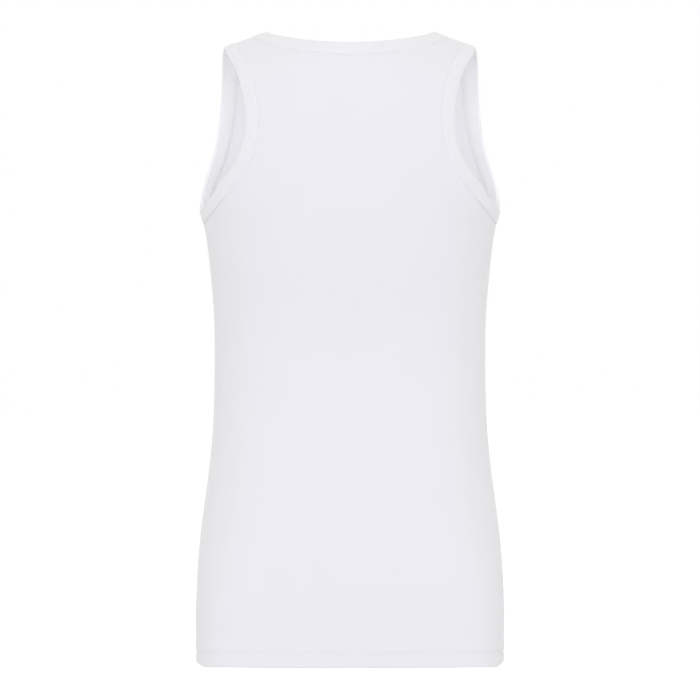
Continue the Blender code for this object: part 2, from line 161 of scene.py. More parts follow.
# Soft creases, one by one: each end's length of cloth from the centre line and up from the hem, then the
# crease's width and its height, which is below zero for a trough.
CREASES = {
    BACK: (
        (0.080, 0.0280, 0.225, 0.0345, 0.0060, -0.00075),
        (-0.095, 0.0300, -0.220, 0.0335, 0.0055, -0.00050),
        (0.110, 0.0470, 0.215, 0.0560, 0.0075, 0.00035),
        (-0.120, 0.0450, -0.205, 0.0510, 0.0070, 0.00025),
        (0.020, 0.0300, 0.075, 0.0270, 0.0050, -0.00020),
        (-0.070, 0.0280, -0.015, 0.0300, 0.0050, -0.00018),
        (0.120, 0.2560, 0.182, 0.2700, 0.0090, -0.00050),
        (-0.125, 0.2480, -0.183, 0.2600, 0.0085, -0.00045),
        (0.130, 0.3020, 0.180, 0.2930, 0.0080, -0.00035),
        (-0.118, 0.3160, -0.178, 0.3060, 0.0095, -0.00040),
        (0.110, 0.3600, 0.176, 0.4040, 0.0090, -0.00040),
        (-0.120, 0.3720, -0.180, 0.4120, 0.0085, -0.00035),
        (0.118, 0.4520, 0.166, 0.4380, 0.0065, -0.00040),
        (-0.122, 0.4540, -0.168, 0.4420, 0.0065, -0.00040),
    ),
    FRONT: (
        (0.070, 0.0290, 0.212, 0.0340, 0.0060, -0.00060),
        (-0.090, 0.0310, -0.210, 0.0330, 0.0060, -0.00065),
        (0.105, 0.0500, 0.198, 0.0550, 0.0075, 0.00030),
        (-0.040, 0.0290, 0.020, 0.0300, 0.0050, -0.00020),
        (0.100, 0.2450, 0.178, 0.2620, 0.0095, -0.00055),
        (-0.108, 0.2520, -0.180, 0.2700, 0.0090, -0.00050),
        (0.120, 0.2980, 0.182, 0.2860, 0.0085, -0.00045),
        (-0.112, 0.3100, -0.182, 0.2980, 0.0090, -0.00040),
        (0.085, 0.4080, 0.192, 0.4400, 0.0095, -0.00070),
        (-0.090, 0.4140, -0.194, 0.4430, 0.0090, -0.00065),
        (0.112, 0.4360, 0.186, 0.4560, 0.0070, -0.00045),
        (-0.118, 0.4440, -0.184, 0.4570, 0.0065, -0.00040),
        (0.060, 0.3560, 0.150, 0.3700, 0.0120, -0.00035),
        (-0.055, 0.3480, -0.140, 0.3650, 0.0125, -0.00030),
    ),
}

# ---- fineness of the shells ----
PANEL_SPACING = 0.0030  # between neighbouring points of a panel
SEAM_ROW_SPACING = 0.0022  # between points of a row beside a seam
SEAM_ROWS = (0.00045, 0.0009, 0.0014, 0.0020, 0.0028, 0.0038, 0.0052, 0.0070)  # distances from a seam
HEM_ROWS = (0.0002, 0.0005, 0.0009, 0.0014, 0.0022, 0.0040, 0.0062, 0.0083, 0.0100, 0.0113, 0.0122,
            0.0128, 0.0134, 0.0140, 0.0146, 0.0152, 0.0158, 0.0164, 0.0172, 0.0182, 0.0192, 0.0200,
            0.0207, 0.0216, 0.0228, 0.0245, 0.0267, 0.0292)  # heights of rows of points over the hem
BAND_SPACING = 0.0018  # between stations along a band
JOIN_STEPS = (0.0004, 0.0008, 0.0013, 0.0019, 0.0027, 0.0040)  # closer stations beside a band's join
CURVE_STEPS = 900  # samples from which an edge is measured out
GRID_ACROSS, GRID_UP = 120, 260  # cells of the grids that measure the cloth
UNROLL_RADIUS = 0.125  # metres of cloth to a radian of angle, about the body's mean radius
HEM_STEPS = 799  # samples from which a row over the hem is measured out
RIDGE_STEP = 0.009  # angle between points of a row beside the shoulder seam
LEAST_GAP = 0.00025  # between points of neighbouring rows
FILLING_GAP = 0.55 * PANEL_SPACING  # between the lattice's points and the rows
BLOCK = 2000  # points handled at once where each is compared with a whole line
EPSILON = 1e-5  # a small step of angle or rise, or a distance that counts as none
QUARTER, TURN = math.pi / 2, 2 * math.pi
SHARP_ANGLE = math.radians(62)  # edges that turn more than this are shaded sharp

# ---- colours, light and camera ----
BODY_COLOUR = (0.830, 0.830, 0.850)
BAND_COLOUR = (0.840, 0.842, 0.858)
THREAD_COLOUR = (0.845, 0.845, 0.870)
WALE, COURSE = 0.00085, 0.00066  # width of a knit column and height of a knit row
YARN_LENGTH = 1 / 28  # metres of yarn between changes in its tone
YARN_NOISE, CLOUD_NOISE = (0.9, 2.0), (16.0, 3.0)  # scale and detail of the yarn's and the dye's noise
KNIT_SHADE, YARN_TONE, CLOUD_TONE = 0.45, 0.35, 0.20  # what each adds to the jersey's tone; the knit's share is painted shade in the hollows between its loops
YARN_RELIEF = 0.35  # what the yarn adds to the height of the knit
TWIST, TWIST_BEND = 900.0, 1.5  # scale of the thread's twist, and its unevenness
JERSEY_SHADE_AND_TONE, THREAD_SHADE = (0.965, 1.03), (0.93, 1.03)  # darkest and lightest, in shares of a colour; the jersey's span holds painted shade and random tone, the thread's painted shade
JERSEY_ROUGHNESS, THREAD_ROUGHNESS = (0.84, 0.95), (0.45, 0.65)  # least and most
JERSEY_RELIEF, THREAD_RELIEF = (0.00016, 0.45), (0.00006, 0.4)  # height and strength

VIEW_DISTANCE, VIEW_HEIGHT = 3.2, -0.3148  # of the camera, from the garment's middle and the origin
VIEW_WIDTH = 0.714  # width of the view at the garment's middle
SENSOR = 36.0  # width of the camera's sensor in millimetres
FLOOR_HEIGHT, FLOOR_REACH = -0.96, 30.0
LIGHT_EVEN = (0.785, 0.778, 0.655)  # the room's light from all round
LIGHT_FACING = (0.890, 0.895, 1.330)  # how much more comes from straight before and behind
INSIDE_LAMPS = (-0.10, -0.21, -0.32, -0.43, -0.54)  # heights of the lamps inside
INSIDE_POWER, INSIDE_RADIUS = 0.0245, 0.03  # watts and size of each
ARM_LAMPS = (0.108, -0.020, -0.118)  # middle of the lamp in the right armhole
ARM_LAMP_SIZE = (0.03, 0.13)  # its width and height
ARM_POWER = 0.0240  # its watts
FLOOR_BOUNCE = 0.84  # share of the light that the floor throws back up
FLOOR_GLOW = 0.15  # light added to the floor where it is seen, so that it is plain white


# ---- smooth curves ----
def natural_spline(knots, values):
    """A function that runs smoothly through rows of values at the knots."""
    knots, values = np.asarray(knots, float), np.asarray(values, float)
    gaps = np.diff(knots)
    system = np.eye(len(knots))
    for i in range(1, len(gaps)):
        system[i, i - 1 : i + 2] = gaps[i - 1], 2 * (gaps[i - 1] + gaps[i]), gaps[i]
    turns = np.zeros_like(values)
    turns[1:-1] = 6 * np.diff(np.diff(values, axis=0) / gaps[:, None], axis=0)
    bends = np.linalg.solve(system, turns)

    def at(places):
        i = np.clip(np.searchsorted(knots, places) - 1, 0, len(gaps) - 1)
        gap, before, after = (v[:, None] for v in (gaps[i], places - knots[i], knots[i + 1] - places))
        curved = (bends[i] * after**3 + bends[i + 1] * before**3) / (6 * gap)
        start, end = (values[k] / gap - bends[k] * gap / 6 for k in (i, i + 1))
        return curved + start * after + end * before

    return at


def lengths_along(points):
    """Length of the way along a line up to each of its points."""
    steps = np.linalg.norm(np.diff(points, axis=0), axis=1)
    return np.concatenate(([0.0], np.cumsum(steps)))


def curve_through(points):
    """A smooth curve through points, as a function of 0 to 1 along it."""
    along = lengths_along(points)
    return natural_spline(along / along[-1], points)


def smooth(share):
    """A share kept between 0 and 1, with soft turns at both."""
    share = np.clip(share, 0, 1)
    return share * share * (3 - 2 * share)


def ramp(value, low, high):
    """A smooth rise from 0 to 1 as a value goes from low to high."""
    return smooth((value - low) / (high - low))


def rows_at(wanted, places, rows):
    """Rows of values at wanted places between given ones."""
    return np.stack([np.interp(wanted, places, column) for column in rows.T], axis=1)


NOISE_CELLS = 128
NOISE = np.random.default_rng(11).uniform(-1, 1, (NOISE_CELLS, NOISE_CELLS))


def wander(u, v):
    """Smooth noise from -1 to 1 over a plane, with a wave about every unit."""
    i, j = np.floor(u).astype(int), np.floor(v).astype(int)
    a, b = smooth(u - i), smooth(v - j)
    i, next_i = i % NOISE_CELLS, (i + 1) % NOISE_CELLS
    rows = j % NOISE_CELLS, (j + 1) % NOISE_CELLS
    near, far = (NOISE[i, row] * (1 - a) + NOISE[next_i, row] * a for row in rows)
    return near * (1 - b) + far * b


# ---- the figure ----
section_at_height = natural_spline([row[0] for row in SECTIONS], [row[1:] for row in SECTIONS])


def section(side, rise):
    """Half width, depth and squareness of one side of the body at each rise."""
    values = section_at_height(rise)
    column = 1 if side == BACK else 2
    return values[:, 0], values[:, column], values[:, column + 2]


def ridge_height(x):
    """Height of the shoulder's ridge, which falls from the neck to the tip."""
    neck, tip, here = (np.hypot(half, SHOULDER_ROUNDING) for half in (NECK_POINT[0], SHOULDER_TIP[0], x))
    slope = (NECK_POINT[1] - SHOULDER_TIP[1]) / (tip - neck)
    return NECK_POINT[1] - slope * (here - neck)


def climb(side, share, x):
    """Share of the height up to the ridge, at a share of the way along the shoulder's arch."""
    start, end = ARCH_START[side], ARCH_END[side]
    steepness = (end - start) / (ridge_height(x) - start)
    return steepness * share + (3 - 2 * steepness) * share**2 + (steepness - 2) * share**3


def figure(side, angle, rise):
    """Points on the body's outside, as rows of X, Y and height."""
    half_width, depth, square = section(side, rise)
    sine, cosine = np.sin(angle), np.cos(angle)
    spread = np.abs(sine / half_width) ** square + np.abs(cosine / depth) ** square
    radius = spread ** (-1 / square)
    x = radius * sine

    start, end = ARCH_START[side], ARCH_END[side]
    share = np.maximum(0, (rise - start) / (end - start))
    climbed = climb(side, share, x)
    left = np.sqrt(np.maximum(0, 1 - np.clip(climbed, 0, 1) ** ARCH_POWER[side]))
    left = np.where(share > 1, -left, left)
    height = np.where(share > 0, start + (ridge_height(x) - start) * climbed, rise)
    return np.stack([x, side * radius * cosine * left, height], axis=1)


def outward(side, angle, rise):
    """Unit normals of the body's outside."""
    across = figure(side, angle + EPSILON, rise) - figure(side, angle - EPSILON, rise)
    up = figure(side, angle, rise + EPSILON) - figure(side, angle, rise - EPSILON)
    normal = -side * np.cross(across, up)
    return normal / np.linalg.norm(normal, axis=1)[:, None]


def angle_at(side, x, rise):
    """Angle of a half width on the section at a rise."""
    half_width, depth, square = (float(v[0]) for v in section(side, np.array([rise])))
    across = min(1.0, x / half_width)
    return math.atan2(x, depth * (1 - across**square) ** (1 / square))


def place_on_body(side, x, height):
    """Angle and rise of one side's point at a half width and a height."""
    start, end = ARCH_START[side], ARCH_END[side]
    wanted = (height - start) / (ridge_height(x) - start)
    low, high = 0.0, 1.0
    for _ in range(50):
        middle = (low + high) / 2
        low, high = (middle, high) if climb(side, middle, x) < wanted else (low, middle)
    rise = start + (end - start) * high if wanted > 0 else height
    return angle_at(side, x, rise), rise


def nearest_place(side, angle, rise, points):
    """Places on the body nearest to points, from angles and rises close to them."""
    for _ in range(6):
        here = figure(side, angle, rise)
        by_angle = (figure(side, angle + EPSILON, rise) - here) / EPSILON
        by_rise = (here - figure(side, angle, rise - EPSILON)) / EPSILON
        slopes = np.stack([by_angle, by_rise], axis=1)
        squares = slopes @ slopes.transpose(0, 2, 1)
        steps = np.linalg.solve(squares, slopes @ (points - here)[..., None])
        angle, rise = angle + steps[:, 0, 0], rise + steps[:, 1, 0]
    return angle, rise


# ---- edges and seams ----
def ridge_place(side, x):
    """Angle and rise where the shoulder's ridge is at a half width."""
    return angle_at(side, x, ARCH_END[side]), ARCH_END[side]


def stations(length, join_at_start):
    """Distances along a band's half, closer together beside its join."""
    inner = JOIN_STEPS[-1]
    count = round((length - inner) / BAND_SPACING)
    even = np.linspace(inner, length, count + 1)
    places = np.concatenate(([0.0], JOIN_STEPS[:-1], even))
    return places if join_at_start else length - places[::-1]


def edge_stations(side, curve, first, join_at_start):
    """Places of a band's stations on a curve of pattern points, from a share of it on."""
    def places_at(shares):
        return (curve(first + (1 - first) * shares) / (UNROLL_RADIUS, 1)).T

    shares = np.linspace(0, 1, CURVE_STEPS)
    along = lengths_along(figure(side, *places_at(shares)))
    return places_at(np.interp(stations(along[-1], join_at_start), along, shares))


def places_of(side, edges):
    """Angles and rises of a table's points, from the lowest up."""
    return [place_on_body(side, half_width, height) for height, half_width in reversed(edges)]


def finished_armhole(side):
    """Places along the finished armhole edge, from under the arm up to the ridge."""
    beyond = [(math.pi - angle, rise) for angle, rise in places_of(-side, ARMHOLES[-side][-2:])]
    here = places_of(side, ARMHOLES[side]) + [ridge_place(side, SHOULDER_TIP[0])]
    pattern = np.array([*beyond[::-1], (QUARTER, UNDERARM_HEIGHT), *here]) * (UNROLL_RADIUS, 1)
    lengths = lengths_along(pattern)
    first = lengths[len(beyond)] / lengths[-1]
    return edge_stations(side, curve_through(pattern), first, join_at_start=True)


def finished_neck(side):
    """Places along the finished neck edge, from the centre up to the ridge."""
    half = places_of(side, NECKS[side]) + [ridge_place(side, NECK_POINT[0])]
    beyond = [(-angle, rise) for angle, rise in half[:0:-1]]
    curve = curve_through(np.array(beyond + half) * (UNROLL_RADIUS, 1))
    return edge_stations(side, curve, 0.5, join_at_start=False)


def into_body(along, normal):
    """Unit directions in the body's surface, square to directions along an edge."""
    inward = np.cross(along, normal)
    inward /= np.linalg.norm(inward, axis=1)[:, None]
    return inward if inward[0, 2] < 0 else -inward


def inside_edge(side, finished_edge, distance, first_direction):
    """Places a distance inside the body from a finished edge. The first one is square to the first
    direction, to stay in the plane where the edge starts, and later ones turn square to the edge."""
    angle, rise = finished_edge
    edge, normal = figure(side, angle, rise), outward(side, angle, rise)
    along = np.gradient(edge, axis=0)
    along[-1] = (0, -side, 0)
    square = into_body(along, normal)
    first = into_body(np.tile(first_direction, (len(edge), 1)), normal)
    inward = first + smooth(lengths_along(edge) / TURN_LENGTH)[:, None] * (square - first)
    inward /= np.sum(inward * square, axis=1)[:, None]
    seam_angle, seam_rise = nearest_place(side, angle, rise, edge + distance * inward)
    seam_angle[0], seam_rise[-1] = angle[0], ARCH_END[side]
    return seam_angle, seam_rise


ARMHOLE_EDGE = {side: finished_armhole(side) for side in SIDES}
NECK_EDGE = {side: finished_neck(side) for side in SIDES}


def inside_armhole(side, distance):
    """Places a distance inside the body from the finished armhole edge."""
    return inside_edge(side, ARMHOLE_EDGE[side], distance, (0, side, 0))


def inside_neck(side, distance):
    """Places a distance inside the body from the finished neck edge."""
    return inside_edge(side, NECK_EDGE[side], distance, (1, 0, 0))


ARMHOLE_SEAM = {side: inside_armhole(side, ARM_BAND) for side in SIDES}
NECK_SEAM = {side: inside_neck(side, NECK_BAND) for side in SIDES}


# ---- measuring the cloth ----
def cloth_grids(side):
    """Lengths of cloth across and up, on a grid of angles and rises."""
    angles = np.linspace(0, QUARTER, GRID_ACROSS + 1)
    rises = np.linspace(0, ARCH_END[side], GRID_UP + 1)
    grid = np.meshgrid(angles, rises, indexing="ij")
    points = figure(side, grid[0].ravel(), grid[1].ravel()).reshape(*grid[0].shape, 3)
    across = np.linalg.norm(np.diff(points, axis=0), axis=2).cumsum(axis=0)
    up = np.linalg.norm(np.diff(points, axis=1), axis=2).cumsum(axis=1)
    return np.pad(across, ((1, 0), (0, 0))), np.pad(up, ((0, 0), (1, 0)))


CLOTH_GRIDS = {side: cloth_grids(side) for side in SIDES}


def on_grid(grid, side, angle, rise):
    """Values of a grid at angles and rises between its points."""
    i = np.clip(np.abs(angle) / QUARTER * GRID_ACROSS, 0, GRID_ACROSS - EPSILON)
    j = np.clip(rise / ARCH_END[side] * GRID_UP, 0, GRID_UP - EPSILON)
    low_i, low_j = i.astype(int), j.astype(int)
    a, b = i - low_i, j - low_j
    near, far = (grid[low_i, k] * (1 - a) + grid[low_i + 1, k] * a for k in (low_j, low_j + 1))
    return near * (1 - b) + far * b


def cloth_at(side, angle, rise):
    """Lengths of cloth across, signed for X, and up."""
    across, up = CLOTH_GRIDS[side]
    return np.sign(angle) * on_grid(across, side, angle, rise), on_grid(up, side, angle, rise)


def in_blocks(points, work):
    """The results of work on points, done a block at a time to save memory."""
    return np.concatenate([work(points[i : i + BLOCK]) for i in range(0, len(points), BLOCK)])


def from_line(points, line):
    """Each point's distance from a line of points, and how far along it that is."""
    start, step = line[:-1], np.diff(line, axis=0)
    before, length = lengths_along(line)[:-1], np.linalg.norm(step, axis=1)

    def measure(block):
        offset = block[:, None] - start
        share = np.clip((offset * step).sum(axis=2) / length**2, 0, 1)
        gap = np.linalg.norm(offset - share[..., None] * step, axis=2)
        rows, nearest = np.arange(len(gap)), gap.argmin(axis=1)
        along = before[nearest] + share[rows, nearest] * length[nearest]
        return np.stack([gap[rows, nearest], along], axis=1)

    return in_blocks(points, measure).T


def beside_side_seam(side, gap, rises):
    """Angles a distance of cloth away from the side seam, at rises."""
    step = 0.02
    cloth = cloth_at(side, QUARTER, rises)[0] - cloth_at(side, QUARTER - step, rises)[0]
    return QUARTER - step * gap / cloth


def below_ridge(side, gap, angles):
    """Rises a distance of cloth below the shoulder seam, at angles."""
    top, step = ARCH_END[side], 0.01
    cloth = cloth_at(side, angles, top)[1] - cloth_at(side, angles, top - step)[1]
    return top - step * gap / cloth


SEAM_LINES = {side: [figure(side, *ARMHOLE_SEAM[side]), figure(side, *NECK_SEAM[side])]
              for side in SIDES}


def armhole_depth(along):
    """How deep the armhole's seam lies, at a length along it."""
    return UNDERARM_SEAM + (UPPER_ARM_SEAM - UNDERARM_SEAM) * ramp(along, *UNDERARM_REACH)


def from_seams(side, angle, rise):
    """Distance from a panel's nearest seam, length along that seam, and how deep it lies."""
    points = figure(side, angle, rise) * (np.sign(angle)[:, None] * (1, 0, 0) + (0, 1, 1))
    across, up = cloth_at(side, angle, rise)
    edge, top = cloth_at(side, QUARTER, rise)[0], cloth_at(side, angle, ARCH_END[side])[1]
    arm, neck = (from_line(points, line) for line in SEAM_LINES[side])
    seams = [(edge - np.abs(across), up, SIDE_SEAM), (top - up, across, SHOULDER_SEAM),
             (*arm, armhole_depth(arm[1])), (*neck, NECK_SEAM_DEPTH)]
    seams = np.array([np.broadcast_arrays(*seam) for seam in seams])
    gap, along, depth = seams[seams[:, 0].argmin(axis=0), :, np.arange(len(rise))].T
    return gap, along + LEFT_SHIFT * (angle < 0), depth


# ---- relief of the body's cloth ----
def crease_relief(side, across, up):
    """Height of the listed creases."""
    relief = np.zeros_like(across)
    for start_across, start_up, end_across, end_up, width, height in CREASES[side]:
        run_across, run_up = end_across - start_across, end_up - start_up
        length = math.hypot(run_across, run_up)
        u, v = across - start_across, up - start_up
        share = np.clip((u * run_across + v * run_up) / length**2 * 2 - 1, -1, 1)
        sideways = (v * run_across - u * run_up) / length
        relief += height * (1 - share**2) ** 2 * np.exp(-((sideways / width) ** 2))
    return relief


def soft_relief(side, across, up, gap):
    """Height of the creases and slow unevenness, on both of the cloth's faces."""
    # The plain sums shift the noise, so that the two waves and the two sides are unlike.
    slow = wander(across / SLOW_WAVE[0] + 40 * (side + 1), up / SLOW_WAVE[1])
    quick = wander(across / QUICK_WAVE[0] + 9, up / QUICK_WAVE[1] + 31 * (side + 1))
    uneven = UNDULATION * smooth(gap / UNDULATION_GAP) * (SLOW_SHARE * slow + QUICK_SHARE * quick)
    curl = HEM_CURL * np.clip(1 - up / CURL_HEIGHT, 0, 1) ** 2 * ramp(np.abs(across), *CURL_REACH)
    pull = HEM_PULL * (1 - smooth(up / PULL_HEIGHT)) + curl
    return crease_relief(side, across, up) + uneven - pull


def seam_relief(gap, along, depth):
    """Height beside a seam, where the cloth dips, swells over the allowance and gathers."""
    rolled = smooth(gap / SEAM_ROLL)
    swell = SEAM_SWELL * rolled * (1 - ramp(gap, 0.7 * ALLOWANCE, 1.2 * ALLOWANCE))
    gathers = PUCKER * wander(along / PUCKER_WAVE[0], gap / PUCKER_WAVE[1])
    return swell + gathers * rolled * (1 - smooth(gap / PUCKER_REACH)) - depth * (1 - rolled)


def hem_relief(across, up):
    """Height of the hem, with its sunk needle rows and slanting ripples."""
    swell = HEM_SWELL * (1 - ramp(up, HEM_DEPTH, HEM_DEPTH + 0.0065))
    depth = HEM_DITCH[0] + (HEM_DITCH[1] - HEM_DITCH[0]) * ramp(np.abs(across), *DITCH_REACH)
    valley = np.exp(-(((up - sum(HEM_NEEDLES) / 2) / DITCH_WIDTH) ** 4))
    needles = sum(np.exp(-(((up - row) / NEEDLE_WIDTH) ** 2)) for row in HEM_NEEDLES)
    drift, change = (amount * wander(across / length, row)
                     for (amount, length), row in ((ROPE_DRIFT, 0), (ROPE_CHANGE, 5)))
    ripple = np.sin(TURN * ((across + ROPE_LEAN * up) / ROPE_WAVE + drift))
    ripple = ripple * HEM_ROPE * (1 - ROPE_CHANGE[0] + change)
    ripple = ripple * ramp(up, *ROPE_START) * (1 - ramp(up, *ROPE_END))
    return swell + ripple - depth * (DITCH_SHARE * valley + NEEDLE_SHARE * needles)


def fold_relief(up):
    """How far the cloth's faces draw together round the hem's fold."""
    radius = HEM_SHELL / 2
    short = np.clip(radius - up, 0, radius)
    return FOLD_ROUNDNESS * (radius - np.sqrt(radius**2 - short**2))


def reliefs(side, angle, rise):
    """Heights above the figure of the cloth's outside and of its inside."""
    across, up = cloth_at(side, angle, rise)
    gap, along, depth = from_seams(side, angle, rise)
    soft, fold = soft_relief(side, across, up, gap), fold_relief(up)
    sewn = seam_relief(gap, along, depth) + hem_relief(across, up)
    dip = INSIDE_SHARE * depth * (1 - smooth(gap / SEAM_ROLL))
    thickness = np.interp(up, (HEM_DEPTH, HEM_DEPTH + HEM_STEP), (HEM_SHELL, SHELL))
    return soft + sewn - fold, soft - thickness - dip + fold


def hem_drop(out, rise):
    """How far the hem hangs lower towards the sides, less the rounding of its corners."""
    drop = sum(amount * ramp(out, *reach) for amount, reach in zip(HEM_DROP, DROP_REACH))
    corner = ramp(out, *ROUNDING_REACH) * np.clip(1 - rise / ROUNDING_HEIGHT, 0, 1) ** 2
    return drop * (1 - smooth(rise / DROP_HEIGHT)) - HEM_ROUNDING * corner


def on_cloth(side, angle, rise, height):
    """Points at a height above the figure, with the hem hung lower."""
    points = figure(side, angle, rise) + np.asarray(height)[..., None] * outward(side, angle, rise)
    points[:, 1] = side * np.maximum(side * points[:, 1], 0)
    points[:, 2] -= hem_drop(np.abs(points[:, 0]), rise)
    return points


def under_cloth(side, angle, rise, depth):
    """Points at a depth below the inside of the cloth."""
    return on_cloth(side, angle, rise, reliefs(side, angle, rise)[1] - depth)


# ---- body panels ----
def between(start, end):
    """Pattern points from start up to, but not including, end."""
    start, end = np.array(start, float), np.array(end, float)
    count = max(1, math.ceil(np.linalg.norm(end - start) / SEAM_ROW_SPACING))
    return [start + (end - start) * i / count for i in range(count)]


def unrolled(places):
    """Pattern points of angles and rises."""
    return np.stack(places, axis=1) * (UNROLL_RADIUS, 1)


def both_halves(points):
    """Pattern points with their mirror image in the centre line."""
    return np.concatenate([points, points[points[:, 0] > EPSILON] * (-1, 1)])


def whole_outline(side):
    """A panel's closed outline of pattern points, from the hem's centre round."""
    armhole, neck = unrolled(ARMHOLE_SEAM[side]), unrolled(NECK_SEAM[side])
    corner = (QUARTER * UNROLL_RADIUS, 0)
    right = np.array([*between((0, 0), corner), *between(corner, armhole[0]), *armhole[:-1],
                      *between(armhole[-1], neck[-1]), *neck[::-1]])
    return np.concatenate([right, right[-2:0:-1] * (-1, 1)])


def rows_beside_seams(side):
    """Rows of pattern points beside all four kinds of seam."""
    rises = np.arange(SEAM_ROW_SPACING, ARMHOLE_SEAM[side][1][0], SEAM_ROW_SPACING)
    angles = np.arange(NECK_SEAM[side][0][-1], ARMHOLE_SEAM[side][0][-1], RIDGE_STEP)
    rows = []
    for gap in SEAM_ROWS:
        rows += [inside_armhole(side, ARM_BAND + gap), inside_neck(side, NECK_BAND + gap),
                 (beside_side_seam(side, gap, rises), rises), (angles, below_ridge(side, gap, angles))]
    return [both_halves(unrolled(places)) for places in rows]


def hem_rows():
    """Rows of pattern points over the doubled hem."""
    edge = QUARTER * UNROLL_RADIUS
    across = np.linspace(-edge, edge, round(2 * edge / SEAM_ROW_SPACING) + 1)[1:-1]
    return [np.stack([across, np.full_like(across, up)], axis=1) for up in HEM_ROWS]


def inside(outline, points):
    """Which points lie inside an outline, by counting its edges to their right."""
    x0, y0 = outline.T
    x1, y1 = np.roll(outline, -1, axis=0).T

    def edges_right_of(block):
        x, y = block[:, :1], block[:, 1:]
        with np.errstate(divide="ignore", invalid="ignore"):
            crossing = x0 + (y - y0) * (x1 - x0) / (y1 - y0)
        return (((y0 > y) != (y1 > y)) & (x < crossing)).sum(axis=1)

    return in_blocks(points, edges_right_of) % 2 == 1


def lattice(outline):
    """A triangular lattice of points over an outline."""
    low, high = outline.min(axis=0), outline.max(axis=0)
    columns = np.arange(low[0], high[0], PANEL_SPACING)
    rows = np.arange(low[1], high[1], PANEL_SPACING * math.sqrt(3) / 2)
    x, y = np.meshgrid(columns, rows)
    x[1::2] += PANEL_SPACING / 2
    return np.stack([x.ravel(), y.ravel()], axis=1)


def clear_of(points, kept, gap):
    """The points that keep a gap from all those already kept."""
    tree = KDTree(len(kept))
    for i, (x, y) in enumerate(kept):
        tree.insert((x, y, 0), i)
    tree.balance()
    far = [tree.find((x, y, 0))[2] > gap for x, y in points]
    return points[np.array(far, bool)]


def panel_pattern(side):
    """A panel's pattern points, and the triangles between them."""
    outline = whole_outline(side)
    kept = outline
    for row in rows_beside_seams(side) + hem_rows():
        row = row[inside(outline, row)]
        kept = np.concatenate([kept, clear_of(row, kept, LEAST_GAP)])
    filling = lattice(outline)
    filling = filling[inside(outline, filling)]
    kept = np.concatenate([kept, clear_of(filling, kept, FILLING_GAP)])
    loop = [list(range(len(outline)))]
    flat, _, triangles, *_ = delaunay_2d_cdt([tuple(p) for p in kept], [], loop, 1, EPSILON / 10)
    return np.array([tuple(p) for p in flat]), np.array([tuple(t) for t in triangles])


def rim_of(triangles, count):
    """Faces that join a shell's outside and inside along its border."""
    directed = {(t[i - 1], t[i]) for t in triangles.tolist() for i in range(3)}
    return sorted((b, a, a + count, b + count) for a, b in directed if (b, a) not in directed)


def panel_piece(name, side):
    """One body panel as a closed thin shell."""
    flat, triangles = panel_pattern(side)
    angle, rise = flat[:, 0] / UNROLL_RADIUS, flat[:, 1]
    triangles = triangles[:, ::-side]  # the front's the other way round
    inner = triangles[:, ::-1] + len(flat)
    faces = triangles.tolist() + inner.tolist() + rim_of(triangles, len(flat))
    points = [on_cloth(side, angle, rise, height) for height in reliefs(side, angle, rise)]
    piece = add_mesh(name, np.concatenate(points), faces, "jersey", "jersey_reverse")
    lay_pattern(piece, np.tile(np.stack(cloth_at(side, angle, rise), axis=1), (2, 1)))
    slots = np.zeros(len(faces), np.int32)
    slots[len(triangles) : 2 * len(triangles)] = 1
    piece.data.polygons.foreach_set("material_index", slots)
    return piece


# ---- bands ----
def band_section(width):
    """Section of a doubled band: distance from the seam, height, and how far it follows the seam down
    and the band's unevenness."""
    radius = BAND_SHELL / 2
    flat_width = width - radius
    outside = np.concatenate([(0, 0.0002, 0.0005, 0.0009, 0.0014), np.linspace(0.002, flat_width, 7)])
    crown = BAND_CROWN * np.sin(math.pi * (0.15 + 0.7 * outside / flat_width)) + BAND_PROUD
    dip = 1.1 * (1 - smooth(outside / SEAM_ROLL))
    rows = [np.stack([outside, crown * (1 - dip.clip(0, 1)), dip, np.ones_like(dip)], axis=1)]

    top, bottom = crown[-1], BAND_PROUD - BAND_SHELL
    around = QUARTER - np.arange(1, 9) * math.pi / 9
    place, lift = flat_width + radius * np.cos(around), np.sin(around)
    height = (top + bottom) / 2 + (top - bottom) / 2 * lift
    rows.append(np.stack([place, height, 0 * place, (1 + lift) / 2], axis=1))

    inside = np.linspace(flat_width, 0, 5)
    rows.append(np.stack([inside, 0 * inside + bottom, 0 * inside, 0 * inside], axis=1))
    return np.concatenate(rows)


def half_rings(edge, seam):
    """Edge points, seam points and normals at both, along the back's and the front's half of a band."""
    lines = [(measure, line) for measure in (figure, outward) for line in (edge, seam)]
    return [np.stack([measure(side, *line[side]) for measure, line in lines], axis=1) for side in SIDES]


def armhole_ring():
    """Stations round the right armhole, from its join up the back and down the front."""
    back, front = half_rings(ARMHOLE_EDGE, ARMHOLE_SEAM)
    return np.concatenate([back[:-1], front[:0:-1]])


def neck_ring():
    """Stations round the neck, from its join on the left shoulder by the front to the back."""
    back, front = half_rings(NECK_EDGE, NECK_SEAM)
    right = np.concatenate([back[:-1], front[::-1]])
    ring = np.concatenate([right, right[-2:0:-1] * (-1, 1, 1)])
    join = len(right) + len(front) - 2
    return np.roll(ring[::-1], join + 1, axis=0)


def band_relief(along, place, length, width):
    """A band's gathers at its seam, slow unevenness and ditch at its join."""
    gathers = BAND_PUCKER * np.exp(-place / 0.005) * wander(along / 0.0062, 17)
    uneven = BAND_UNDULATION * wander(along / 0.021, 3) * smooth(place / width)
    from_join = np.minimum(along, length - along)
    join = sum(height * np.exp(-((from_join / reach) ** 2)) for height, reach in JOIN_RELIEF)
    return gathers + uneven + join


